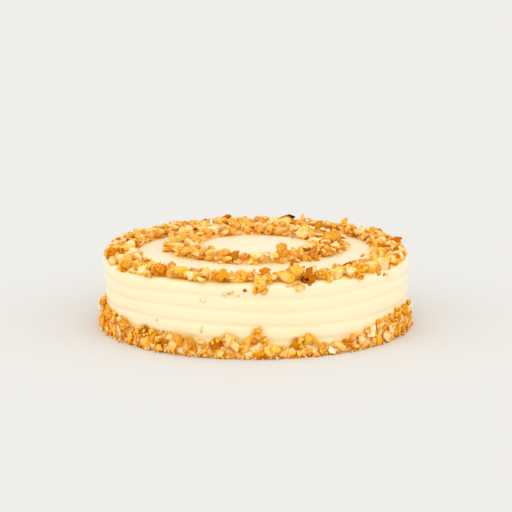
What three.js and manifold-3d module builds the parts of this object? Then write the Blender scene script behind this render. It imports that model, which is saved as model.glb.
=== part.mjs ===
// Carrot cake: an uncut round cake in cream-cheese frosting, dressed with chopped walnuts.
// A ring of nuts lies along the rim, a second ring surrounds the bare middle of the top,
// and a band of nuts is pressed against the foot of the side.
// Millimetres, +Z up. The origin is the middle of the underside, and the front faces -Y.

import * as THREE from "three";
import { ConvexGeometry } from "three/addons/geometries/ConvexGeometry.js";
import { mergeVertices } from "three/addons/utils/BufferGeometryUtils.js";
import Module from "manifold-3d";

const wasm = await Module();
wasm.setup();

// The cake: an eight-inch sponge under a coat of frosting, low and slightly crowned.
const SPONGE_RADIUS = 101.6;
const COAT = 3.8;
const CAKE_RADIUS = SPONGE_RADIUS + COAT;
const RIM_HEIGHT = 48.5;
const CROWN = 6;
const SHOULDER = 4.2;

// The side leans in towards the board, most of all on the left (-X).
const LEAN = 2.2;
const LEAN_TO_LEFT = 1.2;

// Shallow grooves that a spatula left in the side, and how far they wander up and down.
const GROOVE_HEIGHTS = [11, 20.5, 30, 38.5];
const GROOVE_DEPTH = 0.55;
const GROOVE_WIDTH = 2.6;
const GROOVE_WANDER = 1.1;

// The rings of chopped walnut on the top. Reach is the distance from the cake's axis, and at
// the front each ring narrows by the amount given.
const RIM_RING = { inner: 79, outer: 104.6, narrowing: 6, columns: 32, rows: 3, perRow: 40, seed: 11 };
const INNER_RING = { inner: 36, outer: 65, narrowing: 10, columns: 20, rows: 3, perRow: 24, seed: 23 };
const MOUND_HEIGHT = 1.8;

// How far the outermost nuts of the rim hang over the shoulder, and from which reach on.
const OVERHANG = 5;
const OVERHANG_START = 95;

// The largest nut of the inner ring, which stands on end and is the cake's highest point.
const STANDING_NUT = { degrees: -71, reach: 56, size: 13.5, top: 65, lean: 0.25, seed: 61 };

// The band of walnut at the foot of the side.
const BAND = { height: 11.5, thickness: 3.4, columns: 28, rows: 2, perRow: 52, seed: 37 };

// A chopped piece of nut, from the smallest that is modelled to the largest.
const SMALLEST_PIECE = 8.5;
const LARGEST_PIECE = 14;
const PIECE_CORNERS = 8;

// Neighbouring solids keep this gap.
const GAP = 0.3;

// How finely the cake is divided.
const CAKE_SEGMENTS = 56;
const SIDE_STEPS = 13;
const SHOULDER_STEPS = 3;
const TOP_STEPS = 4;

const TURN = 2 * Math.PI;
const GOLDEN_ANGLE = Math.PI * (3 - Math.sqrt(5));

const frostingMaterial = new THREE.MeshStandardMaterial({
  color: 0xfff3cf,
  roughness: 0.5,
  metalness: 0,
});
const walnutMaterial = new THREE.MeshStandardMaterial({
  color: 0xe9b766,
  roughness: 0.65,
  metalness: 0,
});

// Repeatable random numbers from 0 to 1.
function randomFrom(seed) {
  let state = seed;
  return () => {
    state = (state + 0x6d2b79f5) | 0;
    let mixed = Math.imul(state ^ (state >>> 15), 1 | state);
    mixed = (mixed + Math.imul(mixed ^ (mixed >>> 7), 61 | mixed)) ^ mixed;
    return ((mixed ^ (mixed >>> 14)) >>> 0) / 4294967296;
  };
}

// A closed geometry as a solid that can be joined and cut. Shared corners are merged, and the
// triangles that shrink to a line at a pole are left out.
function solidOf(geometry) {
  const bare = geometry.clone();
  bare.deleteAttribute("normal");
  bare.deleteAttribute("uv");
  const merged = mergeVertices(bare, 1e-4);
  const corners = merged.index.array;
  const triVerts = [];
  for (let i = 0; i < corners.length; i += 3) {
    const [a, b, c] = [corners[i], corners[i + 1], corners[i + 2]];
    if (a !== b && b !== c && c !== a) triVerts.push(a, b, c);
  }
  return new wasm.Manifold(
    new wasm.Mesh({
      numProp: 3,
      vertProperties: merged.attributes.position.array,
      triVerts: new Uint32Array(triVerts),
    }),
  );
}

// The solid back as a named mesh. Only its largest body is kept, so that a sealed hollow is
// filled and a loose scrap is dropped.
function meshOf(solid, name, material) {
  const bodies = solid.decompose();
  bodies.sort((a, b) => b.volume() - a.volume());
  const made = bodies[0].getMesh();
  const geometry = new THREE.BufferGeometry();
  geometry.setAttribute("position", new THREE.BufferAttribute(made.vertProperties, 3));
  geometry.setIndex(new THREE.BufferAttribute(made.triVerts, 1));
  geometry.computeVertexNormals();
  const mesh = new THREE.Mesh(geometry, material);
  mesh.name = name;
  return mesh;
}

// Height of the crowned top at a distance from the axis.
function topHeight(reach) {
  const share = reach / (CAKE_RADIUS - SHOULDER);
  return RIM_HEIGHT + CROWN * (1 - share * share);
}

// How far the side stands out from the plain radius at an angle and a height.
function sideLean(angle, height) {
  return (LEAN - LEAN_TO_LEFT * Math.cos(angle)) * Math.min(0, height / RIM_HEIGHT - 1);
}

function grooveRelief(angle, height) {
  let relief = 0;
  GROOVE_HEIGHTS.forEach((groove, i) => {
    const middle = groove + GROOVE_WANDER * Math.sin((i + 2) * angle + 1.7 * i);
    const away = (height - middle) / GROOVE_WIDTH;
    relief -= GROOVE_DEPTH * Math.exp(-away * away);
  });
  return relief;
}

// The cake as a turned shape whose side leans. grow swells it on every face.
function turnedCake(sideSteps, grow) {
  const flat = CAKE_RADIUS - SHOULDER;
  const outline = [new THREE.Vector2(0, -grow)];
  for (let i = 0; i <= sideSteps; i++) {
    const height = -grow + (i / sideSteps) * (RIM_HEIGHT - SHOULDER + grow);
    outline.push(new THREE.Vector2(CAKE_RADIUS + grow, height));
  }
  for (let i = 1; i <= SHOULDER_STEPS; i++) {
    const turn = ((i / SHOULDER_STEPS) * Math.PI) / 2;
    const radius = SHOULDER + grow;
    const height = RIM_HEIGHT - SHOULDER + radius * Math.sin(turn);
    outline.push(new THREE.Vector2(flat + radius * Math.cos(turn), height));
  }
  for (let i = 1; i <= TOP_STEPS; i++) {
    const reach = flat * (1 - i / TOP_STEPS);
    outline.push(new THREE.Vector2(reach, topHeight(reach) + grow));
  }
  const shape = new THREE.LatheGeometry(outline, CAKE_SEGMENTS);
  shape.rotateX(Math.PI / 2);
  pushSide(shape, sideLean);
  return shape;
}

// Moves each point of the side in or out by relief(angle, height).
function pushSide(shape, relief) {
  const position = shape.attributes.position;
  for (let i = 0; i < position.count; i++) {
    const [x, y] = [position.getX(i), position.getY(i)];
    const reach = Math.hypot(x, y);
    if (reach < CAKE_RADIUS - SHOULDER) continue;
    const share = 1 + relief(Math.atan2(y, x), position.getZ(i)) / reach;
    position.setXY(i, x * share, y * share);
  }
}

// A turned ring of facets as large as a piece of nut. section is a closed list of points that
// hold their reach, their height and how far each copy round the ring may stray from them, and
// lay(angle, reach, height) puts a point in its place.
function bumpyRing(section, columns, random, lay) {
  const outline = section.map((point) => new THREE.Vector2(point.reach, point.height));
  outline.push(outline[0].clone());
  const shape = new THREE.LatheGeometry(outline, columns);
  shape.rotateX(Math.PI / 2);
  const strays = [];
  for (let i = 0; i < columns * section.length; i++) {
    const { stray } = section[i % section.length];
    strays.push([stray * (random() - 0.5), stray * (random() - 0.5)]);
  }
  const position = shape.attributes.position;
  for (let i = 0; i < position.count; i++) {
    const row = (i % outline.length) % section.length;
    const column = Math.floor(i / outline.length) % columns;
    const [outward, upward] = strays[column * section.length + row];
    const angle = Math.atan2(position.getY(i), position.getX(i));
    const { reach, height } = section[row];
    position.setXYZ(i, ...lay(angle, reach + outward, height + upward).toArray());
  }
  return shape;
}

// A chopped piece: the hull of a few points spread over a sphere and pushed in or out, then
// stretched to its length, width and height.
function choppedPiece(size, random) {
  const corners = [];
  for (let i = 0; i < PIECE_CORNERS; i++) {
    const level = 1 - (2 * i + 1) / PIECE_CORNERS;
    const across = Math.sqrt(1 - level * level);
    const angle = i * GOLDEN_ANGLE + 0.9 * random();
    const push = 0.5 * (0.85 + 0.3 * random());
    const x = push * across * Math.cos(angle);
    const y = push * across * Math.sin(angle);
    corners.push(new THREE.Vector3(x, y, push * level));
  }
  const piece = new ConvexGeometry(corners);
  piece.scale(size, size * (0.65 + 0.3 * random()), size * (0.55 + 0.2 * random()));
  return piece;
}

function pointAt(angle, reach, height) {
  return new THREE.Vector3(reach * Math.cos(angle), reach * Math.sin(angle), height);
}

// Small pieces are commoner than large ones.
function pieceSize(random) {
  const draw = random();
  return THREE.MathUtils.lerp(SMALLEST_PIECE, LARGEST_PIECE, draw * draw);
}

// The edge of a ring nearest the axis.
function innerEdge(ring, angle) {
  const front = Math.max(0, -Math.sin(angle));
  return ring.inner + ring.narrowing * front * front;
}

// How far a piece hangs down over the shoulder.
function overhang(reach) {
  const share = Math.max(0, reach - OVERHANG_START) / (CAKE_RADIUS - OVERHANG_START);
  return OVERHANG * share * share;
}

// The angle of a piece in a row. Each row is staggered against the one before, and each piece
// strays a little from its even place.
function pieceAngle(column, row, perRow, random) {
  return (TURN * (column + 0.5 * row + 0.6 * (random() - 0.5))) / perRow;
}

// A ring of nuts on the top: a low mound with staggered rows of chopped pieces fused to it.
function topRing(ring) {
  const random = randomFrom(ring.seed);
  const width = ring.outer - ring.inner;
  const section = [
    { reach: ring.inner + 2, height: -1.5, stray: 0 },
    { reach: ring.outer - 2, height: -5, stray: 0 },
    { reach: ring.outer - 0.2 * width, height: MOUND_HEIGHT, stray: 1.5 },
    { reach: ring.inner + 0.25 * width, height: MOUND_HEIGHT, stray: 1.5 },
  ];
  const mound = bumpyRing(section, ring.columns, random, (angle, reach, height) => {
    const edge = innerEdge(ring, angle);
    const moved = edge + ((reach - ring.inner) / width) * (ring.outer - edge);
    return pointAt(angle, moved, topHeight(moved) + height);
  });
  const solids = [solidOf(mound)];
  for (let row = 0; row < ring.rows; row++) {
    for (let column = 0; column < ring.perRow; column++) {
      const size = pieceSize(random);
      const angle = pieceAngle(column, row, ring.perRow, random);
      const edge = innerEdge(ring, angle);
      const share = (row + 0.5 + 0.3 * (random() - 0.5)) / ring.rows;
      const reach = edge + share * (ring.outer - edge);
      const height = topHeight(reach) - overhang(reach) + size * (0.18 + 0.27 * random());
      const piece = choppedPiece(size, random);
      piece.rotateX(0.9 * (random() - 0.5));
      piece.rotateZ(TURN * random());
      piece.translate(...pointAt(angle, reach, height).toArray());
      solids.push(solidOf(piece));
    }
  }
  return wasm.Manifold.union(solids);
}

// The nut that stands on end, long side up, with its foot in the inner ring.
function standingNut() {
  const { degrees, reach, size, top, lean, seed } = STANDING_NUT;
  const piece = choppedPiece(size, randomFrom(seed));
  piece.rotateY(Math.PI / 2 + lean);
  piece.computeBoundingBox();
  const height = top - piece.boundingBox.max.z;
  piece.translate(...pointAt(THREE.MathUtils.degToRad(degrees), reach, height).toArray());
  return solidOf(piece);
}

// The band at the foot: a low wall against the side, with rows of pieces fused to it, the
// lowest on the board and the highest rising above the wall.
function footBand() {
  const random = randomFrom(BAND.seed);
  const wall = CAKE_RADIUS - LEAN;
  const section = [
    { reach: wall - 4, height: -1, stray: 0 },
    { reach: wall + BAND.thickness, height: -1, stray: 0 },
    { reach: wall + BAND.thickness, height: 0.4 * BAND.height, stray: 1.5 },
    { reach: wall + 0.4 * BAND.thickness, height: 0.9 * BAND.height, stray: 3 },
    { reach: wall - 4, height: 0.8 * BAND.height, stray: 0 },
  ];
  const solids = [solidOf(bumpyRing(section, BAND.columns, random, pointAt))];
  for (let row = 0; row < BAND.rows; row++) {
    for (let column = 0; column < BAND.perRow; column++) {
      const size = 0.9 * pieceSize(random);
      const angle = pieceAngle(column, row, BAND.perRow, random);
      const climb = (row + 0.3 + 0.7 * random()) / BAND.rows;
      const height = 0.3 * size + (BAND.height + 1.5 - 0.3 * size) * climb;
      const reach = wall + BAND.thickness * (1.1 - 0.6 * climb);
      const piece = choppedPiece(size, random);
      piece.rotateZ(Math.PI / 2);
      piece.rotateX(TURN * random());
      piece.rotateZ(angle);
      piece.translate(...pointAt(angle, reach, height).toArray());
      solids.push(solidOf(piece));
    }
  }
  return wasm.Manifold.union(solids);
}

// Fragments that fell on the side of the frosting and stuck there: angle, height and size.
const STRAYS = [
  { degrees: -72, height: 43.5, size: 6.5 },
  { degrees: -108, height: 39.5, size: 4 },
  { degrees: -98, height: 43, size: 3 },
  { degrees: -33, height: 43, size: 4 },
  { degrees: -117, height: 17.5, size: 5 },
  { degrees: -128, height: 19, size: 3 },
  { degrees: 65, height: 41, size: 4 },
  { degrees: 150, height: 38, size: 4.5 },
];

// The frosted cake, grooved, with the stray fragments fused to its side.
function frostedCake() {
  const random = randomFrom(5);
  const grooved = turnedCake(SIDE_STEPS, 0);
  pushSide(grooved, grooveRelief);
  const solids = [solidOf(grooved)];
  for (const { degrees, height, size } of STRAYS) {
    const angle = THREE.MathUtils.degToRad(degrees);
    const reach = CAKE_RADIUS + sideLean(angle, height) + 0.12 * size;
    const piece = choppedPiece(size, random);
    piece.rotateZ(angle + Math.PI / 2);
    piece.translate(...pointAt(angle, reach, height).toArray());
    solids.push(solidOf(piece));
  }
  return wasm.Manifold.union(solids);
}

// What the nuts are cut back by: the swollen cake, and all that lies under the board's top.
const swollenCake = solidOf(turnedCake(2, GAP));
const underBoard = solidOf(new THREE.BoxGeometry(300, 300, 20).translate(0, 0, -10));

const rimWalnuts = topRing(RIM_RING).subtract(swollenCake);
const innerWalnuts = topRing(INNER_RING).add(standingNut()).subtract(swollenCake);
const baseWalnuts = footBand().subtract(swollenCake).subtract(underBoard);

const cake = new THREE.Group();
cake.add(
  meshOf(frostedCake(), "frosted_cake", frostingMaterial),
  meshOf(rimWalnuts, "rim_walnuts", walnutMaterial),
  meshOf(innerWalnuts, "inner_walnuts", walnutMaterial),
  meshOf(baseWalnuts, "base_walnuts", walnutMaterial),
);

export default cake;
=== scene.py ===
"""Carrot cake: an uncut round cake in cream-cheese frosting, dressed with chopped walnuts."""

import math

import bpy
import numpy as np
from mathutils import Matrix, Vector, noise


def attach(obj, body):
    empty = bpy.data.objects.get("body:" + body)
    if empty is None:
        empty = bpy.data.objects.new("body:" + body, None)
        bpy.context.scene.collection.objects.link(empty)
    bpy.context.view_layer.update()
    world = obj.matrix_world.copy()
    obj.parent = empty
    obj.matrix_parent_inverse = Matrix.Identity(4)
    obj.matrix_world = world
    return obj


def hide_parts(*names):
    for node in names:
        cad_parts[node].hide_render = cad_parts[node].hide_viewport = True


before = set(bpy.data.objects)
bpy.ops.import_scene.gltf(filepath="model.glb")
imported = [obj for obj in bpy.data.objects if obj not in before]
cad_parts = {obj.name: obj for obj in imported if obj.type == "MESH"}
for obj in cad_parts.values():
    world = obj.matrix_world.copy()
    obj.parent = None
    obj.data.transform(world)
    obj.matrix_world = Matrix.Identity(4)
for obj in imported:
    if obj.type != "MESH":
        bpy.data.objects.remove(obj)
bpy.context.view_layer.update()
bpy.ops.object.select_all(action="DESELECT")


# ---- The frosted cake ----
# An eight-inch carrot sponge under cream-cheese frosting. The coat is spread with a spatula held
# against the side as the cake turns, which leaves shallow level grooves in the side, a soft
# shoulder and a slightly crowned top. Beside the nuts and in gaps it is painted a warm yellow,
# which is painted shade.

MM = 0.001
CAKE_RADIUS = 105.4 * MM
RIM_HEIGHT = 48.5 * MM
CROWN = 6 * MM
SHOULDER = 4.2 * MM
TOP_RADIUS = CAKE_RADIUS - SHOULDER
LEAN = 2.2 * MM
LEAN_TO_LEFT = 1.2 * MM
GROOVE_HEIGHTS = [11 * MM, 20.5 * MM, 30 * MM, 38.5 * MM]
GROOVE_DEPTH = 0.6 * MM
GROOVE_WIDTH = 1.8 * MM
GROOVE_WANDER = 1.1 * MM
SIDE_WAVES = 0.3 * MM
TOP_WAVES = 0.25 * MM
CAKE_SEGMENTS = 288
SIDE_CUTS = 64
SHOULDER_STEPS = 9
TOP_INSETS = 60

# The side's relief fades in over this share of the top's radius. Heights that differ by less
# than a hair count as one.
FADE = 0.03
HAIR = 0.001 * MM


def top_height(reach):
    """Height of the crowned top at a distance from the axis."""
    return RIM_HEIGHT + CROWN * (1 - (reach / TOP_RADIUS) ** 2)


def side_relief(angle, height):
    """How far the side stands out from its plain radius: its lean and its grooves."""
    relief = (LEAN - LEAN_TO_LEFT * np.cos(angle)) * np.minimum(0, height / RIM_HEIGHT - 1)
    for i, groove in enumerate(GROOVE_HEIGHTS):
        middle = groove + GROOVE_WANDER * np.sin((i + 2) * angle + 1.7 * i)
        away = (height - middle) / GROOVE_WIDTH
        relief = relief - GROOVE_DEPTH * np.exp(-away * away)
    return relief


def read_points(mesh):
    points = np.zeros(len(mesh.vertices) * 3, np.float32)
    mesh.vertices.foreach_get("co", points)
    return points.reshape(-1, 3).astype(float)


def write_points(mesh, points):
    mesh.vertices.foreach_set("co", points.astype(np.float32).ravel())
    mesh.update()


def select_where(test, mode):
    """In edit mode, selects the edges or faces that pass a test of their place."""
    piece = bpy.context.object
    bpy.ops.mesh.select_mode(type=mode)
    bpy.ops.mesh.select_all(action="DESELECT")
    bpy.ops.object.mode_set(mode="OBJECT")
    if mode == "FACE":
        for face in piece.data.polygons:
            face.select = test(face.center, face.normal)
    else:
        for edge in piece.data.edges:
            a, b = (piece.data.vertices[v].co for v in edge.vertices)
            edge.select = test(a, b)
    bpy.ops.object.mode_set(mode="EDIT")


bpy.ops.mesh.primitive_cylinder_add(
    vertices=CAKE_SEGMENTS,
    radius=CAKE_RADIUS,
    depth=RIM_HEIGHT,
    end_fill_type="NGON",
    location=(0, 0, RIM_HEIGHT / 2),
)
frosting = bpy.context.object
frosting.name = "frosting"
bpy.ops.object.transform_apply(location=True, rotation=False, scale=False)
bpy.ops.object.mode_set(mode="EDIT")
select_where(lambda a, b: min(a.z, b.z) > RIM_HEIGHT - HAIR, "EDGE")
bpy.ops.mesh.bevel(offset=SHOULDER, segments=SHOULDER_STEPS, affect="EDGES")
select_where(lambda a, b: abs(a.z - b.z) > 0.5 * RIM_HEIGHT, "EDGE")
bpy.ops.mesh.subdivide(number_cuts=SIDE_CUTS)
select_where(lambda middle, normal: normal.z > 0.9 and middle.xy.length < MM, "FACE")
for _ in range(TOP_INSETS):
    bpy.ops.mesh.inset(thickness=TOP_RADIUS / (TOP_INSETS + 1))
bpy.ops.mesh.poke()
bpy.ops.object.mode_set(mode="OBJECT")

points = read_points(frosting.data)
reach = np.hypot(points[:, 0], points[:, 1])
angle = np.arctan2(points[:, 1], points[:, 0])
height = points[:, 2].copy()
fade_in = np.clip((reach - (1 - FADE) * TOP_RADIUS) / (FADE * TOP_RADIUS), 0, 1)
wave = np.array([noise.noise(Vector(p) * 22) + 0.5 * noise.noise(Vector(p) * 60) for p in points])
outward = fade_in * (height > HAIR) * (side_relief(angle, height) + SIDE_WAVES * wave)
on_foot = (reach > (1 - FADE) * TOP_RADIUS) & (height <= HAIR)
outward[on_foot] = side_relief(angle[on_foot], height[on_foot])
on_top = height > RIM_HEIGHT - HAIR
upward = np.where(on_top, top_height(reach) - RIM_HEIGHT + TOP_WAVES * wave, 0)
points[:, :2] *= (1 + outward / np.maximum(reach, MM))[:, None]
points[:, 2] += upward
write_points(frosting.data, points)
bpy.ops.object.shade_smooth()


def soft_material(name, roughness, gloss, let_in, light_colour, light_depth):
    """A material that lets a share of the light in, with the light's colour and depth."""
    material = bpy.data.materials.new(name)
    material.use_nodes = True
    surface = material.node_tree.nodes["Principled BSDF"]
    surface.inputs["Roughness"].default_value = roughness
    surface.inputs["Specular IOR Level"].default_value = gloss
    surface.inputs["Subsurface Weight"].default_value = let_in
    surface.inputs["Subsurface Radius"].default_value = light_colour
    surface.inputs["Subsurface Scale"].default_value = light_depth
    return material


# The next helpers work on the material that nodes and links belong to when they are called.
def feed(socket, value):
    """Gives a socket a fixed value or another node's output."""
    if isinstance(value, bpy.types.NodeSocket):
        links.new(value, socket)
    else:
        socket.default_value = value


def colour_mix(a, b, factor):
    mix = nodes.new("ShaderNodeMix")
    mix.data_type = "RGBA"
    feed(mix.inputs["A"], a)
    feed(mix.inputs["B"], b)
    feed(mix.inputs["Factor"], factor)
    return mix.outputs["Result"]


def remapped(value, low, high, to_low=0.0, to_high=1.0):
    span = nodes.new("ShaderNodeMapRange")
    feed(span.inputs["Value"], value)
    feed(span.inputs["From Min"], low)
    feed(span.inputs["From Max"], high)
    feed(span.inputs["To Min"], to_low)
    feed(span.inputs["To Max"], to_high)
    return span.outputs["Result"]


def noise_of(vector, scale, detail):
    texture = nodes.new("ShaderNodeTexNoise")
    feed(texture.inputs["Vector"], vector)
    feed(texture.inputs["Scale"], scale)
    feed(texture.inputs["Detail"], detail)
    return texture.outputs["Fac"]


def openness_within(distance):
    """Places the group that says how open a point's surroundings are up to a distance."""
    placed = nodes.new("ShaderNodeGroup")
    placed.node_tree = openness
    feed(placed.inputs["Distance"], distance)
    return placed.outputs["Openness"]


def dress(material, colour, relief, strength, depth):
    """Gives a material its colour and a fine relief."""
    surface = material.node_tree.nodes["Principled BSDF"]
    bump = nodes.new("ShaderNodeBump")
    feed(bump.inputs["Height"], relief)
    feed(bump.inputs["Strength"], strength)
    feed(bump.inputs["Distance"], depth)
    feed(surface.inputs["Base Color"], colour)
    feed(surface.inputs["Normal"], bump.outputs["Normal"])


# Openness is 1 on an open face and less in folds and gaps, where shade falls. The frosting and
# the nuts both use it to paint shade: a warmer, deeper colour where it is low.
openness = bpy.data.node_groups.new("openness", "ShaderNodeTree")
openness.interface.new_socket("Distance", in_out="INPUT", socket_type="NodeSocketFloat")
openness.interface.new_socket("Openness", in_out="OUTPUT", socket_type="NodeSocketFloat")
given = openness.nodes.new("NodeGroupInput")
seen = openness.nodes.new("ShaderNodeAmbientOcclusion")
seen.samples = 8
result = openness.nodes.new("NodeGroupOutput")
openness.links.new(given.outputs["Distance"], seen.inputs["Distance"])
openness.links.new(seen.outputs["AO"], result.inputs["Openness"])

PALE_CREAM = (0.972, 0.832, 0.575, 1)
DEEP_CREAM = (0.968, 0.810, 0.525, 1)
# Painted shade: the warm yellow that the cream takes in gaps and beside the nuts, within a reach.
PAINTED_SHADE_CREAM = (0.99, 0.70, 0.17, 1)
STROKE_SCALE = (14, 14, 420)
CREAM_SHADE_REACH = 6 * MM

cream = soft_material(
    "cream_cheese_frosting",
    roughness=0.42,
    gloss=0.35,
    let_in=0.6,
    light_colour=(1.0, 0.74, 0.42),
    light_depth=4 * MM,
)
nodes, links = cream.node_tree.nodes, cream.node_tree.links
place = nodes.new("ShaderNodeTexCoord").outputs["Object"]
streaks = nodes.new("ShaderNodeMapping")
feed(streaks.inputs["Vector"], place)
feed(streaks.inputs["Scale"], STROKE_SCALE)
strokes = noise_of(streaks.outputs["Vector"], scale=1, detail=4)
clouds = noise_of(place, scale=35, detail=3)
tint = colour_mix(PALE_CREAM, DEEP_CREAM, remapped(clouds, 0.45, 0.75))
# Painted shade: the cream turns a warm yellow where it is less open, beside the nuts and in gaps.
cream_with_painted_shade = colour_mix(tint, PAINTED_SHADE_CREAM, remapped(openness_within(CREAM_SHADE_REACH), 0.95, 0.3))
dress(cream, cream_with_painted_shade, strokes, strength=0.12, depth=0.4 * MM)
frosting.data.materials.clear()
frosting.data.materials.append(cream)
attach(frosting, "root")
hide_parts("frosted_cake")


# ---- Chopped walnut ----
# Toasted walnut halves chopped with a knife: each piece keeps some of the folded, amber-skinned
# outside of the kernel and has several pale faces where it was cut or snapped.

SHAPES = 26

# The triangles of each fineness, and the sizes below which a nut takes the next coarser one.
TRIANGLES = (520, 260, 110, 30)
COARSER_BELOW = (8 * MM, 5 * MM, 2.6 * MM)

# A kernel's radius and how close its folds are, then how far out a piece's middle lies, how many
# cuts make it and how far they are from its middle, how deep the skin goes, and how deep its
# colour is seen in the flesh.
KERNEL_RADIUS = 0.9
FOLDS = (1.3, 2.2)
MIDDLE = (0.55, 0.72)
CUTS = (5, 9)
CUT_DISTANCE = (0.16, 0.42)
SKIN_DEPTH = 0.045
UNDER_SKIN = 0.2

# How much scattered nuts lean, in degrees, and the cells over which a height field is softened.
STEEPNESS = 30
SOFTENING = 6
chance = np.random.default_rng(41)

grit = bpy.data.textures.new("broken_grit", "CLOUDS")
grit.noise_scale = 0.07
grit.noise_depth = 1


def apply_modifier(kind, **settings):
    piece = bpy.context.object
    modifier = piece.modifiers.new(kind.lower(), kind)
    for name, value in settings.items():
        setattr(modifier, name, value)
    bpy.ops.object.modifier_apply(modifier=modifier.name)


def thinned(source, triangles):
    """Thins a shape to about so many triangles and gives its points and faces."""
    apply_modifier("DECIMATE", ratio=min(1, triangles / len(source.data.polygons)))
    apply_modifier("TRIANGULATE")
    source.data.validate()
    return read_points(source.data), np.array([f.vertices[:] for f in source.data.polygons])


def kernel_reach(point, shift, folds):
    """How far the folded outside of the kernel lies from its middle, towards a point."""
    way = Vector(point).normalized()
    fold = min(1, 3.2 * abs(noise.noise(way * folds + shift))) ** 0.7
    fine = noise.noise(way * 6 - shift)
    return KERNEL_RADIUS * (0.80 + 0.22 * fold + 0.07 * fine)


def concavity(points, faces):
    """From -1 to 1 at each point: how deep it sits below its neighbours."""
    a, b, c = (points[faces[:, i]] for i in range(3))
    cross = np.cross(b - a, c - a)
    normals = np.zeros_like(points)
    near = np.zeros_like(points)
    count = np.zeros(len(points))
    for i in range(3):
        np.add.at(normals, faces[:, i], cross)
        np.add.at(near, faces[:, i], points[faces[:, (i + 1) % 3]])
        np.add.at(near, faces[:, i], points[faces[:, (i + 2) % 3]])
        np.add.at(count, faces[:, i], 2)
    normals /= np.maximum(np.linalg.norm(normals, axis=1), 1e-12)[:, None]
    drop = ((near / np.maximum(count, 1)[:, None] - points) * normals).sum(1)
    return np.clip(drop / np.percentile(np.abs(drop), 90), -1, 1)


def chopped_kernel(shift, folds):
    """A folded kernel, cut all round until one piece with some of its outside is left."""
    bpy.ops.object.select_all(action="DESELECT")
    bpy.ops.mesh.primitive_ico_sphere_add(subdivisions=5, radius=1)
    kernel = bpy.context.object
    points = read_points(kernel.data)
    reaches = np.array([kernel_reach(p, shift, folds) for p in points])
    write_points(kernel.data, points * reaches[:, None])
    outward = Vector(chance.normal(size=3)).normalized()
    middle = outward * chance.uniform(*MIDDLE)
    bpy.ops.object.mode_set(mode="EDIT")
    for _ in range(chance.integers(*CUTS)):
        normal = Vector(chance.normal(size=3)).normalized()
        if normal.dot(outward) > 0.55:
            normal = -normal
        bpy.ops.mesh.select_all(action="SELECT")
        bpy.ops.mesh.bisect(
            plane_co=middle + normal * chance.uniform(*CUT_DISTANCE),
            plane_no=normal,
            use_fill=True,
            clear_outer=True,
        )
    bpy.ops.object.mode_set(mode="OBJECT")
    apply_modifier("REMESH", mode="VOXEL", voxel_size=0.018)
    apply_modifier("SMOOTH", factor=0.5, iterations=9)
    apply_modifier(
        "DISPLACE", texture=grit, strength=0.028, mid_level=0.5, texture_coords="LOCAL"
    )
    apply_modifier("TRIANGULATE")
    return kernel


def walnut_piece():
    """One chopped piece, one unit long, lying flat with its long side along X. It is made at each
    fineness, from fine to coarse, and each is a dict of its points and faces, of which faces are
    skin, and of how deep in a crease each corner of a face is."""
    shift = Vector(chance.random(3) * 40)
    folds = chance.uniform(*FOLDS)
    kernel = chopped_kernel(shift, folds)
    finenesses = []
    axes = None
    for triangles in TRIANGLES:
        points, faces = thinned(kernel, triangles)
        face_depth, point_depth = (
            1 - np.array([Vector(p).length / kernel_reach(p, shift, folds) for p in group])
            for group in (points[faces].mean(1), points)
        )
        hollow = concavity(points, faces)
        skin = face_depth < SKIN_DEPTH
        near_skin = np.clip(1 - point_depth / UNDER_SKIN, 0, 1)
        # The crease value is high in the skin's hollows, and in the flesh near the skin and at
        # hollows and sharp edges. The material makes it more orange and darker there: painted
        # shade in the hollows, and the flesh's own tint near the skin.
        crease = np.where(
            skin[:, None],
            np.clip(0.4 + 0.6 * hollow[faces], 0, 1),
            np.clip(0.8 * near_skin[faces] + 0.35 * np.abs(hollow[faces]), 0, 1),
        )
        if axes is None:
            axes = np.linalg.svd(points - points.mean(0), full_matrices=False)[2].T
            axes[:, 2] *= np.sign(np.linalg.det(axes))
        points = points @ axes
        points = points - (points.max(0) + points.min(0)) / 2
        finenesses.append({
            "points": points / (points.max(0) - points.min(0)).max(),
            "faces": faces,
            "skin": skin.astype(float),
            "crease": crease,
        })
    bpy.data.objects.remove(kernel)
    return finenesses


shapes = [walnut_piece() for _ in range(SHAPES)]


def turned(heading, lean, roll):
    """A rotation in degrees: rolled about the long side, leant upward, then headed round."""
    return np.array(
        Matrix.Rotation(math.radians(heading), 3, "Z")
        @ Matrix.Rotation(math.radians(-lean), 3, "Y")
        @ Matrix.Rotation(math.radians(roll), 3, "X")
    )


def random_turn():
    return turned(chance.uniform(0, 360), chance.normal(0, STEEPNESS), chance.uniform(0, 360))


def nut_points(nut):
    """The points of a nut, which is (shape, fineness, rotation, size), about its middle."""
    shape, fineness, turn, size = nut
    return shapes[shape][fineness]["points"] @ turn.T * size


def nut_cloud(nut, place_at=0):
    """The points of a nut at a place, and the middles of its faces."""
    shape, fineness = nut[:2]
    points = nut_points(nut) + place_at
    return np.vstack([points, points[shapes[shape][fineness]["faces"]].mean(1)])


def fineness_of(size):
    """Large nuts get the most triangles."""
    return sum(size < limit for limit in COARSER_BELOW)


def nut_size(low, high, power):
    """A size from low to high. The higher the power, the more of them are small."""
    return (low + (high - low) * chance.random() ** power) * MM


def nut_sizes(count, low, high, power):
    """Sizes from low to high, the largest first."""
    return sorted((nut_size(low, high, power) for _ in range(count)), reverse=True)


def tones(palest, deepest, smeared=0.0):
    """A nut's tone, and how toasted it is or, below 0, how much frosting is on it. A few nuts
    are well toasted and more are lightly toasted. Smeared is the share with frosting on."""
    toast = chance.uniform(0.35, 0.8) if chance.random() < 0.006 else 0.0
    toast = chance.uniform(0.03, 0.2) if chance.random() < 0.12 else toast
    toast = -1.0 if chance.random() < smeared else toast
    return chance.uniform(palest, deepest), toast


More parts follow.
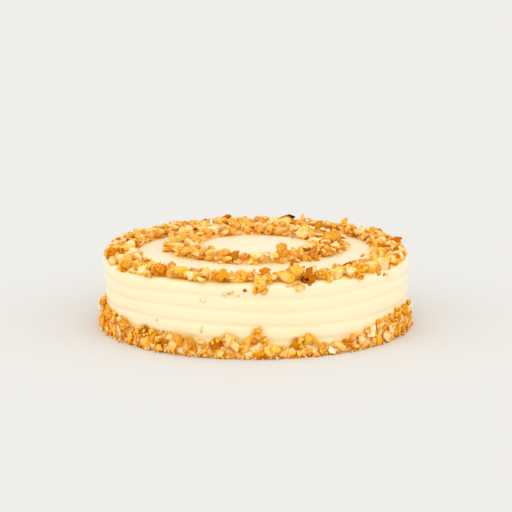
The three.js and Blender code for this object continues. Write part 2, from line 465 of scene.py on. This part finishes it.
def at(angle, reach, height):
    """The place at an angle round the cake's axis, a distance from it, and a height."""
    return np.array([reach * math.cos(angle), reach * math.sin(angle), height])


def softened(field):
    """A height field averaged over a few cells to each side."""
    steps = range(-SOFTENING, SOFTENING + 1, 2)
    return sum(np.roll(field, (i, j), (0, 1)) for i in steps for j in steps) / len(steps) ** 2


def scattered_mesh(name, pieces, buried):
    """Joins pieces, each (shape, fineness, rotation, size, place, tone, toast), into one mesh.
    The more buried(points) gives, the more orange and darker the flesh is there, and so it is low
    down and underneath in each piece: painted shade, deep in a heap and under the pieces."""
    points, faces, colours = [], [], []
    start = 0
    for *nut, place_at, tone, toast in pieces:
        form = shapes[nut[0]][nut[1]]
        laid = nut_points(nut) + place_at
        points.append(laid)
        faces.append(form["faces"] + start)
        start += len(laid)
        a, b, c = (laid[form["faces"][:, i]] for i in range(3))
        normal = np.cross(b - a, c - a)
        up = normal[:, 2:] / np.maximum(np.linalg.norm(normal, axis=1), 1e-12)[:, None]
        height = laid[form["faces"], 2]
        low = 1 - (height - height.min()) / (height.max() - height.min())
        # Painted shade: depth in the heap, faces turned down and a low place in the piece raise
        # the crease value. Toast raises it too, as the nut's own colour.
        crease = form["crease"] + 0.35 * buried(laid)[form["faces"]] + max(0, 4 * toast)
        crease = crease + 0.12 * np.clip(0.4 - up, 0, 1.4) + 0.4 * low**2 - 0.1
        corners = np.ones(crease.size)
        colours.append(np.stack([
            np.repeat(form["skin"], 3),
            np.clip(crease.ravel(), 0, 1),
            tone * corners,
            toast * corners,
        ], 1))
    mesh = bpy.data.meshes.new(name)
    mesh.from_pydata(np.vstack(points).tolist(), [], np.vstack(faces).tolist())
    attribute = mesh.color_attributes.new("walnut", "FLOAT_COLOR", "CORNER")
    attribute.data.foreach_set("color", np.vstack(colours).astype(np.float32).ravel())
    piece = bpy.data.objects.new(name, mesh)
    bpy.context.collection.objects.link(piece)
    bpy.ops.object.select_all(action="DESELECT")
    bpy.context.view_layer.objects.active = piece
    piece.select_set(True)
    bpy.ops.object.shade_smooth_by_angle(angle=math.radians(55))
    piece.data.materials.append(walnut)
    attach(piece, "root")
    return piece


# The walnut's finish: cream-coloured flesh where it was cut, amber skin outside, both more orange
# at the edges, and nearly matte. Both are also painted with shade: more orange and darker in
# folds, in gaps between pieces, deep in a heap, and low down and underneath. Toast above 0 browns
# a piece, and below 0 it is how much frosting is smeared over it.

FLESH_PALE = (0.98, 0.84, 0.53, 1)
FLESH_GOLD = (0.95, 0.65, 0.10, 1)
FLESH_EDGE = (0.95, 0.40, 0.002, 1)
SKIN_LIGHT = (0.92, 0.54, 0.045, 1)
SKIN_DARK = (0.85, 0.28, 0.002, 1)
FOLD_BROWN = (0.50, 0.085, 0.001, 1)
TOASTED = (0.60, 0.16, 0.002, 1)
BURNT = (0.05, 0.010, 0.001, 1)
VEIN_MIDDLE = 0.5
VEIN_WIDTH = 0.013
# How far round the painted shade of folds and gaps looks.
FOLD_REACH = 4.5 * MM


def maths(operation, *values):
    """A Math node over values, each fixed or another node's output. It stays from 0 to 1."""
    total = nodes.new("ShaderNodeMath")
    total.operation = operation
    total.use_clamp = True
    for socket, value in zip(total.inputs, values):
        feed(socket, value)
    return total.outputs["Value"]


walnut = soft_material(
    "chopped_walnut",
    roughness=0.5,
    gloss=0.03,
    let_in=0.2,
    light_colour=(1.0, 0.6, 0.25),
    light_depth=1.1 * MM,
)
nodes, links = walnut.node_tree.nodes, walnut.node_tree.links
place = nodes.new("ShaderNodeTexCoord").outputs["Object"]
written = nodes.new("ShaderNodeAttribute")
written.attribute_name = "walnut"
channels = nodes.new("ShaderNodeSeparateColor")
feed(channels.inputs["Color"], written.outputs["Color"])
is_skin, crease, tone = (channels.outputs[c] for c in ("Red", "Green", "Blue"))
toast = written.outputs["Alpha"]
# Painted shade: this mask is low in folds and in gaps between pieces, where shade falls.
painted_shade_mask = openness_within(FOLD_REACH)
blotches = noise_of(place, scale=190, detail=2)
mottle = noise_of(place, scale=800, detail=2)
veins = maths("COMPARE", noise_of(place, scale=230, detail=3), VEIN_MIDDLE, VEIN_WIDTH)

flesh = colour_mix(FLESH_PALE, FLESH_GOLD, maths(
    "ADD", remapped(blotches, 0.45, 0.56, 0, 0.85), remapped(tone, 0.2, 1.0, 0, 0.6)))
flesh = colour_mix(flesh, FLESH_EDGE, maths(
    "ADD", remapped(mottle, 0.54, 0.66, 0, 0.45), remapped(tone, 0.7, 1.0, 0, 0.35)))
# Painted shade in part: the crease value makes the flesh more orange in hollows, low down and deep
# in a heap. The veins are the nut's own.
flesh = colour_mix(flesh, FLESH_EDGE, maths(
    "ADD", remapped(crease, 0.15, 0.95, 0, 0.95), remapped(veins, 0, 1, 0, 0.6)))
# Painted shade: the flesh turns orange, then dark, where it is less open.
flesh = colour_mix(flesh, FLESH_EDGE, maths(
    "MULTIPLY", remapped(painted_shade_mask, 0.9, 0.35, 0, 0.95), remapped(tone, 0.3, 0.9, 0.4, 1.0)))
flesh = colour_mix(flesh, SKIN_DARK, maths(
    "MULTIPLY", remapped(painted_shade_mask, 0.65, 0.25, 0, 0.8), remapped(tone, 0.4, 0.9, 0.1, 0.7)))
# The skin darkens at random and, as painted shade, in its hollows and where it is less open. Its
# veins are its own.
skin = colour_mix(SKIN_LIGHT, SKIN_DARK, maths(
    "ADD", remapped(mottle, 0.42, 0.65, 0, 0.7), remapped(crease, 0.3, 0.8, 0, 0.8)))
skin = colour_mix(skin, SKIN_DARK, remapped(painted_shade_mask, 0.9, 0.35, 0, 0.95))
skin = colour_mix(skin, FOLD_BROWN, maths(
    "ADD", remapped(crease, 0.5, 1.0, 0, 0.9), remapped(veins, 0, 1, 0, 0.8)))
body = colour_mix(flesh, skin, remapped(is_skin, 0, 1, 0, 0.8))
body = colour_mix(body, TOASTED, maths(
    "MULTIPLY", remapped(toast, 0, 0.3), remapped(blotches, 0.44, 0.56, 1.0, 0.3)))
body = colour_mix(body, BURNT, maths(
    "MULTIPLY", remapped(toast, 0, 1), remapped(blotches, 0.46, 0.54)))
# Painted shade on smeared frosting too, where it is less open.
smear = colour_mix(PALE_CREAM, PAINTED_SHADE_CREAM, remapped(painted_shade_mask, 0.85, 0.3, 0, 0.9))
body = colour_mix(body, smear, maths(
    "MULTIPLY", remapped(toast, -1, 0, 1, 0), remapped(blotches, 0.4, 0.55)))
dress(walnut, body, mottle, strength=0.6, depth=0.3 * MM)


# ---- The nuts on the top ----
# Handfuls of chopped walnut laid in two rings. Each piece is dropped on what already lies there
# and sinks a little into the frosting, so that the rings pile up as a heap does.

# The heaps are built up on a height field of square cells, which begins as the bare cake.
CELL = 0.5 * MM
SPREAD = 115 * MM
CELLS = int(2 * SPREAD / CELL)
SINK = 0.5 * MM
RING_TRIES = 7
SHOULDER_FROM = 95 * MM
SHOULDER_WIDTH = 6 * MM
HEAP_DEPTH = 4.5 * MM

# A listed nut within this reach gets a prop where it would hang. The prop overlaps it.
PROP_WITHIN = 100 * MM
PROP_OVERLAP = 2 * MM
TALLEST_PROP = 9 * MM

grid = (np.arange(CELLS) + 0.5) * CELL - SPREAD
grid_x, grid_y = np.meshgrid(grid, grid, indexing="ij")
grid_reach = np.hypot(grid_x, grid_y)
over_shoulder = np.clip((grid_reach - TOP_RADIUS) / SHOULDER, 0, 1)
ground = np.where(
    grid_reach < TOP_RADIUS,
    top_height(grid_reach),
    RIM_HEIGHT - SHOULDER * (1 - np.sqrt(1 - over_shoulder**2)),
)
ground[grid_reach > CAKE_RADIUS] = 0


def cell_of(values):
    return np.clip(((values + SPREAD) / CELL).astype(int), 0, CELLS - 1)


def dropped(nut, x, y):
    """Height at which a nut comes to rest at x, y on what lies there."""
    points = nut_points(nut)
    i, j = cell_of(points[:, 0] + x), cell_of(points[:, 1] + y)
    return (ground[i, j] - points[:, 2]).max()


def pile_on(nut, place_at):
    """Raises the height field by a nut that has come to rest."""
    cloud = nut_cloud(nut, place_at)
    np.maximum.at(ground, (cell_of(cloud[:, 0]), cell_of(cloud[:, 1])), cloud[:, 2])


def ring_edge(inner, narrowing, angle):
    """The edge of a ring nearest the axis, which gives way at the front."""
    return inner + narrowing * max(0, -math.sin(angle)) ** 2


def propped(x, y, gap):
    """A nut as tall as the gap under another, set on what lies at x, y."""
    shape = int(chance.integers(SHAPES))
    turn = random_turn()
    heights = nut_points((shape, 1, turn, 1))[:, 2]
    nut = (shape, 1, turn, gap / (heights.max() - heights.min()))
    place_at = np.array([x, y, dropped(nut, x, y) - SINK])
    pile_on(nut, place_at)
    return *nut, place_at, *tones(palest=0.3, deepest=0.9)


def laid_by_hand(chunks):
    """Nuts whose highest point is at a height over the top or, where none is given, that lie on
    what is there. One that would hang away from the edge gets a prop."""
    pieces = []
    for degrees, reach, size, shape, heading, lean, roll, tone, toast, top in chunks:
        nut = (shape, 0, turned(heading, lean, roll), size * MM)
        reach *= MM
        x, y, _ = at(math.radians(degrees), reach, 0)
        rest = dropped(nut, x, y)
        z = rest - SINK
        if top is not None:
            highest = nut_points(nut)[:, 2].max()
            z = top_height(min(reach, TOP_RADIUS)) + top * MM - highest
        if z > rest and reach < PROP_WITHIN:
            pieces.append(propped(x, y, min(z - rest + PROP_OVERLAP, TALLEST_PROP)))
        place_at = np.array([x, y, z])
        pile_on(nut, place_at)
        pieces.append((*nut, place_at, tone, toast))
    return pieces


def heaped_ring(layers, deepest):
    """Nuts dropped over a ring layer by layer, the largest of a layer first. Each takes the one
    of a few places where it rises least, and is left out if it would still rise past the
    layer's limit. Towards the shoulder they sink deeper."""
    pieces = []
    for count, inner, outer, narrowing, tuck, low, high, power, limit, more_behind in layers:
        for size in nut_sizes(count, low, high, power):
            best = None
            for _ in range(RING_TRIES):
                angle = chance.uniform(-math.pi, math.pi)
                behind = math.sin(angle)
                near = ring_edge(inner * MM, narrowing * MM, angle) + 0.45 * size
                far = outer * MM - tuck * MM * min(1, 1.3 + 1.3 * behind) - 0.4 * size
                reach = math.sqrt(chance.uniform(near**2, far**2))
                nut = (int(chance.integers(SHAPES)), fineness_of(size), random_turn(), size)
                over_edge = min(1, max(0, (reach - SHOULDER_FROM) / SHOULDER_WIDTH))
                x, y, _ = at(angle, reach, 0)
                rest = dropped(nut, x, y) - (SINK + over_edge * 0.4 * size)
                highest = rest + nut_points(nut)[:, 2].max()
                excess = highest - top_height(reach) - (limit + more_behind * behind) * MM
                if best is None or excess < best[0]:
                    best = (excess, nut, np.array([x, y, rest]))
            excess, nut, place_at = best
            if excess <= 0:
                pile_on(nut, place_at)
                pieces.append((*nut, place_at, *tones(palest=0, deepest=deepest)))
    return pieces


def under_heap(points):
    """From 0 to 1: how deep points lie below the softened top of the heap."""
    i, j = cell_of(points[:, 0]), cell_of(points[:, 1])
    return np.clip((heap_top[i, j] - points[:, 2]) / HEAP_DEPTH, 0, 1)


# Each layer of a ring has its number of nuts and the reach where it starts and ends, how much
# further out it starts at the front and how much further in it ends elsewhere, its smallest and
# largest nut and the power that favours the small, and how high it may rise and how much more
# behind.
RIM_LAYERS = [
    (90, 79.5, 97, 7, 0, 4.5, 8, 1.0, 4.2, 0),
    (330, 79, 108.5, 8, 4, 7, 14.5, 1.0, 8.2, 1.4),
    (120, 79, 106, 8, 2.5, 3.5, 7, 1.0, 8.2, 1.4),
    (110, 79, 103.5, 8, 0, 1.2, 3.5, 1.5, 8.2, 1.4),
]
INNER_LAYERS = [
    (60, 55, 65.5, 0, 0, 4.5, 8, 1.0, 4.2, 0),
    (190, 35.5, 65, 11, 0, 7, 14, 1.0, 8.0, 0.8),
    (70, 36, 65, 11, 0, 3.5, 7, 1.0, 8.0, 0.8),
    (80, 36.5, 65, 11, 0, 1.2, 3.5, 1.5, 8.0, 0.8),
]

# The largest and most striking pieces are set where they lie on the cake. Each has its degrees,
# reach and size, its shape, heading, lean and roll, its tone and toast, and how high it stands.
rim_pieces = laid_by_hand([
    (-166, 101, 10, 21, 0, 60, 90, 0.8, 0.12, 8.5),
    (-157, 102, 9.5, 14, 0, 10, 90, 0.3, 0, 5.5),
    (-145, 102, 14, 0, 0, 0, 60, 0.9, 0, 7),
    (-134.5, 101, 12.5, 5, 0, -20, 90, 0.2, 0, 7),
    (-127, 101, 12.5, 3, 0, 0, -90, 0.9, 0.1, 8),
    (-118.5, 102, 14, 6, 0, 0, 180, 0.9, 0, 8),
    (-112.5, 103, 14, 24, 0, -5, -90, 0.3, 0, 6.5),
    (-105, 102.5, 10, 7, 0, 0, 90, 0.1, 0, 7.5),
    (-101.2, 103, 10, 18, 0, 0, 180, 1.0, 0.15, 6.5),
    (-96.2, 102, 14.5, 21, 0, 0, 90, 0.3, 0, 8),
    (-87.5, 104, 14.5, 11, 0, 40, -90, 0.7, 0, 5),
    (-86, 95, 8, 15, 20, 10, 40, 0.9, 0.2, 7.5),
    (-80, 102, 16, 20, -25, -12, -60, 0.9, 0, 8),
    (-75.2, 100, 11, 10, 0, 20, 90, 0.9, 0.03, 10.5),
    (-70.8, 101.5, 8, 3, 0, 60, 0, 1.0, 1.3, 9),
    (-72, 103, 12, 23, 0, 30, 90, 1.0, 1.0, 5.5),
    (-76.4, 97, 6.5, 19, 0, 95, 0, 1.0, 0.4, 13),
    (-75.4, 105, 9, 16, 0, 0, 90, 0.0, 0, -0.5),
    (-66, 102, 10, 9, 0, 0, 90, 0.6, 0, 7),
    (-60, 102, 14, 22, 0, 20, -90, 0.5, 0, 7.5),
    (-52, 101, 15, 12, 0, 0, 60, 0.9, 0, 8),
    (-44, 101, 13, 17, 0, 0, 90, 0.6, 0, 7.5),
    (-36, 101, 13, 4, 0, 10, 90, 0.4, 0, 7.5),
    (-28, 101, 12, 0, 0, 0, 120, 0.8, 0, 7.5),
    (-21.5, 101, 12, 3, 0, 0, 90, 0.2, 0, 8),
    (-16, 98, 9, 25, 0, 70, 60, 1.0, 0.15, 9.5),
    (5, 99, 9, 15, 0, 20, 60, 1.0, 0.3, 9),
    (26, 93, 10, 13, 0, 70, 90, 0.9, 0.1, 10),
    (46, 93, 13, 19, 0, 80, 90, 0.4, 0, 12),
])
rim_pieces += heaped_ring(RIM_LAYERS, deepest=0.6)
rim_pieces += laid_by_hand([
    (76, 92, 8, 18, 0, 10, 60, 1.0, 0.4, 9.5),
    (74, 93, 9, 15, 0, 10, 60, 1.0, 1.0, 11),
    (104, 93, 9, 19, 0, 25, 90, 1.0, 0.3, 11),
    (68, 93, 7, 19, 0, 85, 0, 0.6, 0, 12),
    (116, 85, 2.6, 6, 0, 0, 0, 1.0, 1.0, None),
])
inner_pieces = laid_by_hand([
    (-106, 56.5, 9.5, 17, 0, 10, 60, 1.0, 0.3, 7),
    (-97, 57, 8, 7, 0, 0, 90, 0.2, 0, 6),
    (-89, 58, 10.5, 2, 0, 5, 90, 0.3, 0, 7),
    (-77, 55, 8, 25, 0, 60, 90, 0.7, 0, 7),
    (-71.5, 56, 13.5, 20, 0, 98, 90, 0.7, 0.08, 12.1),
    (-63, 52, 8.5, 16, 0, 60, 90, 0.5, 0, 7),
    (3, 53, 14, 10, 20, 10, 50, 1.0, 0.15, 9),
])
inner_pieces += heaped_ring(INNER_LAYERS, deepest=0.3)
inner_pieces += laid_by_hand([
    (141, 57, 3, 8, 0, 30, 0, 1.0, 1.0, None),
    (149, 50, 3, 12, 0, 0, 0, 1.0, 1.0, None),
])
heap_top = softened(ground)

# A bed of meal lies under each heap. This is how far it rises over the frosting and goes below,
# how far its lumps stand out, how much frosting is smeared over it, and how thick the torus is
# that it is made from.
BED_RISE = 2.2 * MM
BED_DEPTH = 2 * MM
BED_LUMPS = 1.3 * MM
BED_SMEAR = 0.6
TUBE = 0.25


def lean_of(points):
    """Unit vectors that point up and a little away from the axis."""
    outward = points * (0.6, 0.6, 0) / np.hypot(points[:, 0], points[:, 1])[:, None]
    return outward + (0, 0, 0.8)


def meal_bed(name, lay, smeared):
    """The fine meal that fills the gaps of a heap: a ring whose section follows
    lay(angle, across, up), where across and up go from -1 to 1."""
    bpy.ops.object.select_all(action="DESELECT")
    bpy.ops.mesh.primitive_torus_add(
        major_segments=900, minor_segments=40, major_radius=1, minor_radius=TUBE
    )
    bed = bpy.context.object
    bed.name = name
    points = read_points(bed.data)
    angles = np.arctan2(points[:, 1], points[:, 0])
    across = (np.hypot(points[:, 0], points[:, 1]) - 1) / TUBE
    laid = np.array([lay(*p) for p in zip(angles, across, points[:, 2] / TUBE)])
    lumps = np.array([noise.noise(Vector(p) * 330) + noise.noise(Vector(p) * 1100) for p in laid])
    laid += BED_LUMPS * (lumps * (points[:, 2] > -0.01))[:, None] * lean_of(laid)
    write_points(bed.data, laid)
    bpy.ops.object.shade_smooth()
    attribute = bed.data.color_attributes.new("walnut", "FLOAT_COLOR", "CORNER")
    shades = np.tile(np.float32([0, 0.5, 0.6, -smeared]), len(attribute.data))
    attribute.data.foreach_set("color", shades)
    bed.data.materials.append(walnut)
    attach(bed, "root")


def bed_in_ring(inner, outer, narrowing):
    def lay(angle, across, up):
        edge = ring_edge(inner, narrowing, angle)
        ragged = noise.noise((14 * math.cos(angle), 14 * math.sin(angle), 9 * (across > 0)))
        reach = edge + (0.5 + (0.5 - 0.3 * abs(ragged)) * across) * (outer - edge)
        rise = BED_RISE if up > 0 else BED_DEPTH
        return at(angle, reach, top_height(reach) + rise * up)

    return lay


meal_bed(
    "rim_bed", bed_in_ring(inner=84 * MM, outer=99.5 * MM, narrowing=8 * MM), smeared=BED_SMEAR
)
meal_bed(
    "inner_bed", bed_in_ring(inner=41 * MM, outer=58.5 * MM, narrowing=10 * MM), smeared=BED_SMEAR
)

# The deeper a nut lies in its heap, the more painted shade it gets.
rim_nuts = scattered_mesh("rim_nuts", rim_pieces, lambda points: 0.4 * under_heap(points))
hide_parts("rim_walnuts")
inner_nuts = scattered_mesh(
    "inner_nuts", inner_pieces, lambda points: 0.4 * under_heap(points) - 0.5
)
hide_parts("inner_walnuts")


# ---- The band of nuts at the foot ----
# Chopped walnut pressed against the side by the handful. The pieces stick to the frosting in
# one or two layers from the board up, and finer crumbs collect along the bottom edge.

BAND_REACH = 109.7 * MM
BAND_FRONT = 109.0 * MM
BAND_BACK = 108.3 * MM
BAND_DEPTH = 4 * MM
BAND_TRIES = 6
NUTS_PRESSED = 520
CRUMBS_PRESSED = 560
CRUMB_INSET = 1.4 * MM
CRUMBS_LOOSE = 600
CRUMBS_FROM = 106 * MM
FLOOR_GAP = 0.1 * MM

# The band's ragged upper edge, as degrees round the cake and millimetres up.
BAND_SKYLINE = [
    (-167, 18), (-154, 18.5), (-145, 16.5), (-140, 12), (-134, 15.5), (-126, 13.6), (-118.5, 15.7),
    (-107, 11), (-99.7, 17), (-95.3, 10.5), (-89.6, 20.5), (-86, 13), (-81, 8.5), (-73.3, 15),
    (-68, 10.5), (-62, 8), (-56, 9.5), (-50, 12.5), (-41, 18), (-27, 20.5), (-12, 19), (5, 13),
    (20, 17), (38, 11), (55, 16), (72, 10), (90, 15), (108, 11), (126, 16), (144, 12), (164, 18),
]

# The band is built up on a field of cells round and up the side, which says how far out it is.
AROUND = 1320
UP = 48
UP_CELL = 0.5 * MM

around_angle = (np.arange(AROUND) + 0.5) / AROUND * 2 * math.pi - math.pi
up_height = (np.arange(UP) + 0.5) * UP_CELL
wall = np.array([CAKE_RADIUS + side_relief(around_angle, h) for h in up_height]).T


def wall_cells(angle, height):
    i = ((angle + math.pi) / (2 * math.pi) * AROUND).astype(int) % AROUND
    return i, np.clip((height / UP_CELL).astype(int), 0, UP - 1)


def pressed(nut, angle, height):
    """Reach of a nut pressed against the wall, and its height once it is clear of the floor.
    The nut's own axes are along the wall, up, and outward."""
    points = nut_points(nut)
    height = max(height, FLOOR_GAP - points[:, 1].min())
    cells = wall_cells(angle + points[:, 0] / CAKE_RADIUS, points[:, 1] + height)
    return (wall[cells] - points[:, 2]).max(), height


def pile_against(nut, angle, height, reach):
    """Thickens the wall by a nut that has been pressed on."""
    cloud = nut_cloud(nut)
    cells = wall_cells(angle + cloud[:, 0] / CAKE_RADIUS, cloud[:, 1] + height)
    np.maximum.at(wall, cells, cloud[:, 2] + reach)


def on_wall(nut, angle, reach, height, tone, toast):
    """A piece from a nut whose own axes are along the wall, up, and outward."""
    shape, fineness, turn, size = nut
    c, s = math.cos(angle), math.sin(angle)
    along_wall = np.array([[-s, 0, c], [c, 0, s], [0, 1, 0]])
    return shape, fineness, along_wall @ turn, size, at(angle, reach, height), tone, toast


def band_edge(angle):
    """How far out the band goes, which is a little less at the front and the back."""
    behind = math.sin(angle)
    return min(BAND_REACH, BAND_FRONT / max(-behind, 0.1), BAND_BACK / max(behind, 0.1))


def band_top_at(angle):
    """Height of the band's ragged upper edge."""
    degrees = math.degrees(angle)
    return np.interp(degrees, *zip(*BAND_SKYLINE), period=360) * MM


def pressed_by_hand(chunks):
    pieces = []
    for degrees, height, size, shape, lean, roll, tone, toast in chunks:
        angle = math.radians(degrees)
        nut = (shape, 0, turned(lean, 0, roll), size * MM)
        reach, height = pressed(nut, angle, height * MM)
        reach = min(reach - 2 * SINK, band_edge(angle) - nut_points(nut)[:, 2].max())
        pile_against(nut, angle, height, reach)
        pieces.append(on_wall(nut, angle, reach, height, tone, toast))
    return pieces


def banded(count, low, high, climb_power, inset=0.0):
    """Nuts pressed on along the band, the largest first, none further out than the band's edge
    less the inset. The higher the climb power, the more of them lie low."""
    pieces = []
    for size in nut_sizes(count, low, high, 1.0):
        best = None
        for _ in range(BAND_TRIES):
            angle = chance.uniform(-math.pi, math.pi)
            nut = (int(chance.integers(SHAPES)), fineness_of(size), random_turn(), size)
            highest = nut_points(nut)[:, 1].max()
            height = (band_top_at(angle) - highest) * chance.random() ** climb_power
            reach, height = pressed(nut, angle, height)
            excess = reach + nut_points(nut)[:, 2].max() - band_edge(angle) + inset
            if best is None or excess < best[0]:
                best = (excess, nut, angle, reach, height)
        excess, nut, angle, reach, height = best
        if excess <= 0:
            pile_against(nut, angle, height, reach - SINK)
            tone, toast = tones(palest=0.3, deepest=1.0, smeared=0.07)
            pieces.append(on_wall(nut, angle, reach - SINK, height, tone, toast))
    return pieces


def under_band(points):
    """From 0 to 1: how deep points lie behind the softened face of the band."""
    cells = wall_cells(np.arctan2(points[:, 1], points[:, 0]), points[:, 2])
    return np.clip((band_top[cells] - np.hypot(points[:, 0], points[:, 1])) / BAND_DEPTH, 0, 1)


# Each piece listed here has its degrees, height and size, its shape, lean and roll, and its
# tone and toast.
band_pieces = pressed_by_hand([
    (-167, 13, 11, 21, 75, 0, 0.6, 0),
    (-155, 14, 8.5, 0, 30, 0, 0.9, 0),
    (-146, 12.5, 8, 18, 80, 0, 0.5, 0),
    (-139, 9, 8, 25, 20, 0, 0.9, 0),
    (-134, 11, 9, 10, 60, 0, 1.0, 0.6),
    (-129, 8, 10, 13, 80, 0, 1.0, 0.1),
    (-124.5, 5.5, 9, 12, 0, 0, 1.0, 0.1),
    (-118.6, 5.5, 9, 14, 0, 0, 0.9, 0),
    (-104, 9, 11, 9, 20, 0, 1.0, 0.15),
    (-99.7, 12, 10, 4, 60, 180, 0.2, 0.03),
    (-97, 8.5, 8.5, 16, 120, 0, 0.4, 0),
    (-89.6, 15.5, 10, 17, 90, 180, 0.3, 0),
    (-92, 10.5, 8, 4, 30, 0, 0.5, 0),
    (-87.3, 10.5, 8, 22, 100, 0, 0.4, 0),
    (-94.3, 6.5, 9, 6, 60, 0, 0.8, 0),
    (-90, 5.5, 8.5, 1, 0, 0, 0.2, 0),
    (-85.6, 5.5, 8.5, 11, 110, 0, 0.7, 0),
    (-89, 2.2, 9, 20, 0, 0, 1.0, 0.15),
    (-83.5, 6.5, 7, 14, 0, 0, 0.6, 0),
    (-76, 8.5, 9, 15, 70, 0, 1.0, 0.3),
    (-74, 4.5, 8, 24, 40, 0, 0.6, 0),
    (-72, 11, 9, 13, 50, 0, 1.0, 0.05),
    (-70, 3.5, 8, 8, 0, 0, 0.1, 0),
    (-55.8, 6, 8.5, 18, 0, 0, 1.0, 0.1),
    (-40, 13, 10, 16, 20, 0, 0.2, 0),
    (-27, 15, 10, 6, 80, 0, 0.7, 0),
    (-20, 15, 10, 13, 80, 0, 1.0, 0.15),
    (-12, 14, 10, 21, 80, 0, 0.9, 0.2),
])
band_pieces += banded(NUTS_PRESSED, low=5.5, high=12, climb_power=0.8)
crumb_pieces = banded(CRUMBS_PRESSED, low=1.6, high=4.5, climb_power=1.1, inset=CRUMB_INSET)
for _ in range(CRUMBS_LOOSE):
    size = nut_size(low=0.9, high=3.6, power=2.0)
    angle = chance.uniform(-math.pi, math.pi)
    reach = chance.uniform(CRUMBS_FROM, band_edge(angle) - 0.5 * size)
    nut = (int(chance.integers(SHAPES)), fineness_of(size), random_turn(), size)
    lowest = nut_points(nut)[:, 2].min()
    tone_and_toast = tones(palest=0.3, deepest=1.0, smeared=0.45)
    crumb_pieces.append((*nut, at(angle, reach, -lowest), *tone_and_toast))
band_top = softened(wall)


# The band's bed has its middle inside the side, and flares towards its foot. It fills twice
# this share of the band's height.
BED_INSIDE = 2.6 * MM
BED_HALF_WIDTH = 2 * MM
BED_FLARE = 0.8 * MM
BED_SHARE = 0.32


def bed_in_band(angle, across, up):
    reach = CAKE_RADIUS - BED_INSIDE + BED_HALF_WIDTH * across + BED_FLARE * (1 - up)
    return at(angle, reach, BED_SHARE * band_top_at(angle) * (1 + up))


meal_bed("band_bed", bed_in_band, smeared=1.0)
# The band's nuts and crumbs get painted shade by how deep they lie in the band.
band_nuts = scattered_mesh("band_nuts", band_pieces, lambda points: 0.4 + under_band(points))
scattered_mesh("band_crumbs", crumb_pieces, lambda points: 0.3 * under_band(points))
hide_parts("base_walnuts")


# ---- Fragments on the side ----
# A few broken bits of walnut that fell from the rim and stuck to the frosting of the side. The
# palest are half covered by it.


def stuck(chunks):
    """Fragments whose backs are sunk in the side by a fifth of their thickness."""
    pieces = []
    for degrees, height, size, shape, lean, tone, toast in chunks:
        angle = math.radians(degrees)
        height *= MM
        nut = (shape, 1, turned(lean, 0, 0), size * MM)
        thickness = nut_points(nut)[:, 2].max()
        reach = CAKE_RADIUS + side_relief(angle, height) - 0.2 * thickness
        pieces.append(on_wall(nut, angle, reach, height, tone, toast))
    return pieces


# Each fragment has its degrees, height and size, its shape and lean, and its tone and toast.
fragment_pieces = stuck([
    (-108.2, 37.1, 5.5, 14, 20, 0.3, -0.9),
    (-100.8, 41.2, 3.6, 3, 40, 0.4, -0.5),
    (-99.3, 41.8, 2.6, 12, 0, 0.5, -0.3),
    (-98.0, 42.6, 3.2, 22, 60, 0.3, -0.5),
    (-95.9, 40.6, 1.8, 5, 0, 0.9, 0),
    (-93.6, 44.2, 3.4, 9, 5, 1.0, 0.3),
    (-79.0, 46.0, 2.0, 17, 10, 0.9, 0),
    (-76.0, 42.5, 1.6, 3, 10, 0.9, 0),
    (-109.4, 17.5, 5.0, 24, 80, 0.6, -0.6),
    (-128.0, 19.5, 2.8, 6, 30, 0.5, -0.4),
    (-37.5, 45.3, 4.0, 21, 10, 0.8, 0.1),
    (-35.5, 44.6, 2.8, 1, -20, 0.4, 0),
    (65.0, 41.0, 4.0, 11, 30, 0.5, 0),
    (150.0, 38.0, 4.5, 19, 60, 0.8, 0.1),
])
scattered_mesh("side_fragments", fragment_pieces, lambda points: np.zeros(len(points)))


# ---- The studio ----
# A wide pale paper floor under an even dome of light, with a broad soft lamp low at each front
# corner, and a long lens that looks a little down on the cake.

FLOOR_SIZE = 60
PAPER = (0.772, 0.766, 0.745, 1)
DOME = (1, 0.99, 0.97, 1)
DOME_STRENGTH = 0.92
LAMP_STRENGTH = 1.0
LAMP_BREADTH = math.radians(90)
LAMP_AIMS = {"left_lamp": (0.8, 0.6, -0.27), "right_lamp": (-0.8, 0.6, -0.27)}
CAMERA_PLACE = (0.0003, -1.0196, 0.2409)
CAMERA_PITCH = math.radians(90 - 10.83)
CAMERA_ROLL = math.radians(-0.22)
CAMERA_LENS = 105.47
CAMERA_SENSOR = 36

bpy.ops.mesh.primitive_plane_add(size=FLOOR_SIZE, location=(0, 0, 0))
floor = bpy.context.object
floor.name = "studio_floor"
paper = bpy.data.materials.new("pale_paper")
paper.use_nodes = True
surface = paper.node_tree.nodes["Principled BSDF"]
surface.inputs["Base Color"].default_value = PAPER
surface.inputs["Roughness"].default_value = 1.0
surface.inputs["Specular IOR Level"].default_value = 0.0
floor.data.materials.append(paper)

scene = bpy.context.scene
scene.view_settings.view_transform = "Standard"
world = bpy.data.worlds.new("studio")
scene.world = world
world.use_nodes = True
dome = world.node_tree.nodes["Background"]
dome.inputs["Color"].default_value = DOME
dome.inputs["Strength"].default_value = DOME_STRENGTH

for name, aim in LAMP_AIMS.items():
    lamp_data = bpy.data.lights.new(name, "SUN")
    lamp_data.energy = LAMP_STRENGTH
    lamp_data.angle = LAMP_BREADTH
    lamp = bpy.data.objects.new(name, lamp_data)
    lamp.rotation_euler = Vector(aim).to_track_quat("-Z", "Y").to_euler()
    bpy.context.collection.objects.link(lamp)

camera_data = bpy.data.cameras.new("camera")
camera_data.sensor_width = CAMERA_SENSOR
camera_data.lens = CAMERA_LENS
camera = bpy.data.objects.new("camera", camera_data)
camera.matrix_world = (
    Matrix.Translation(CAMERA_PLACE)
    @ Matrix.Rotation(CAMERA_PITCH, 4, "X")
    @ Matrix.Rotation(CAMERA_ROLL, 4, "Z")
)
bpy.context.collection.objects.link(camera)
scene.camera = camera
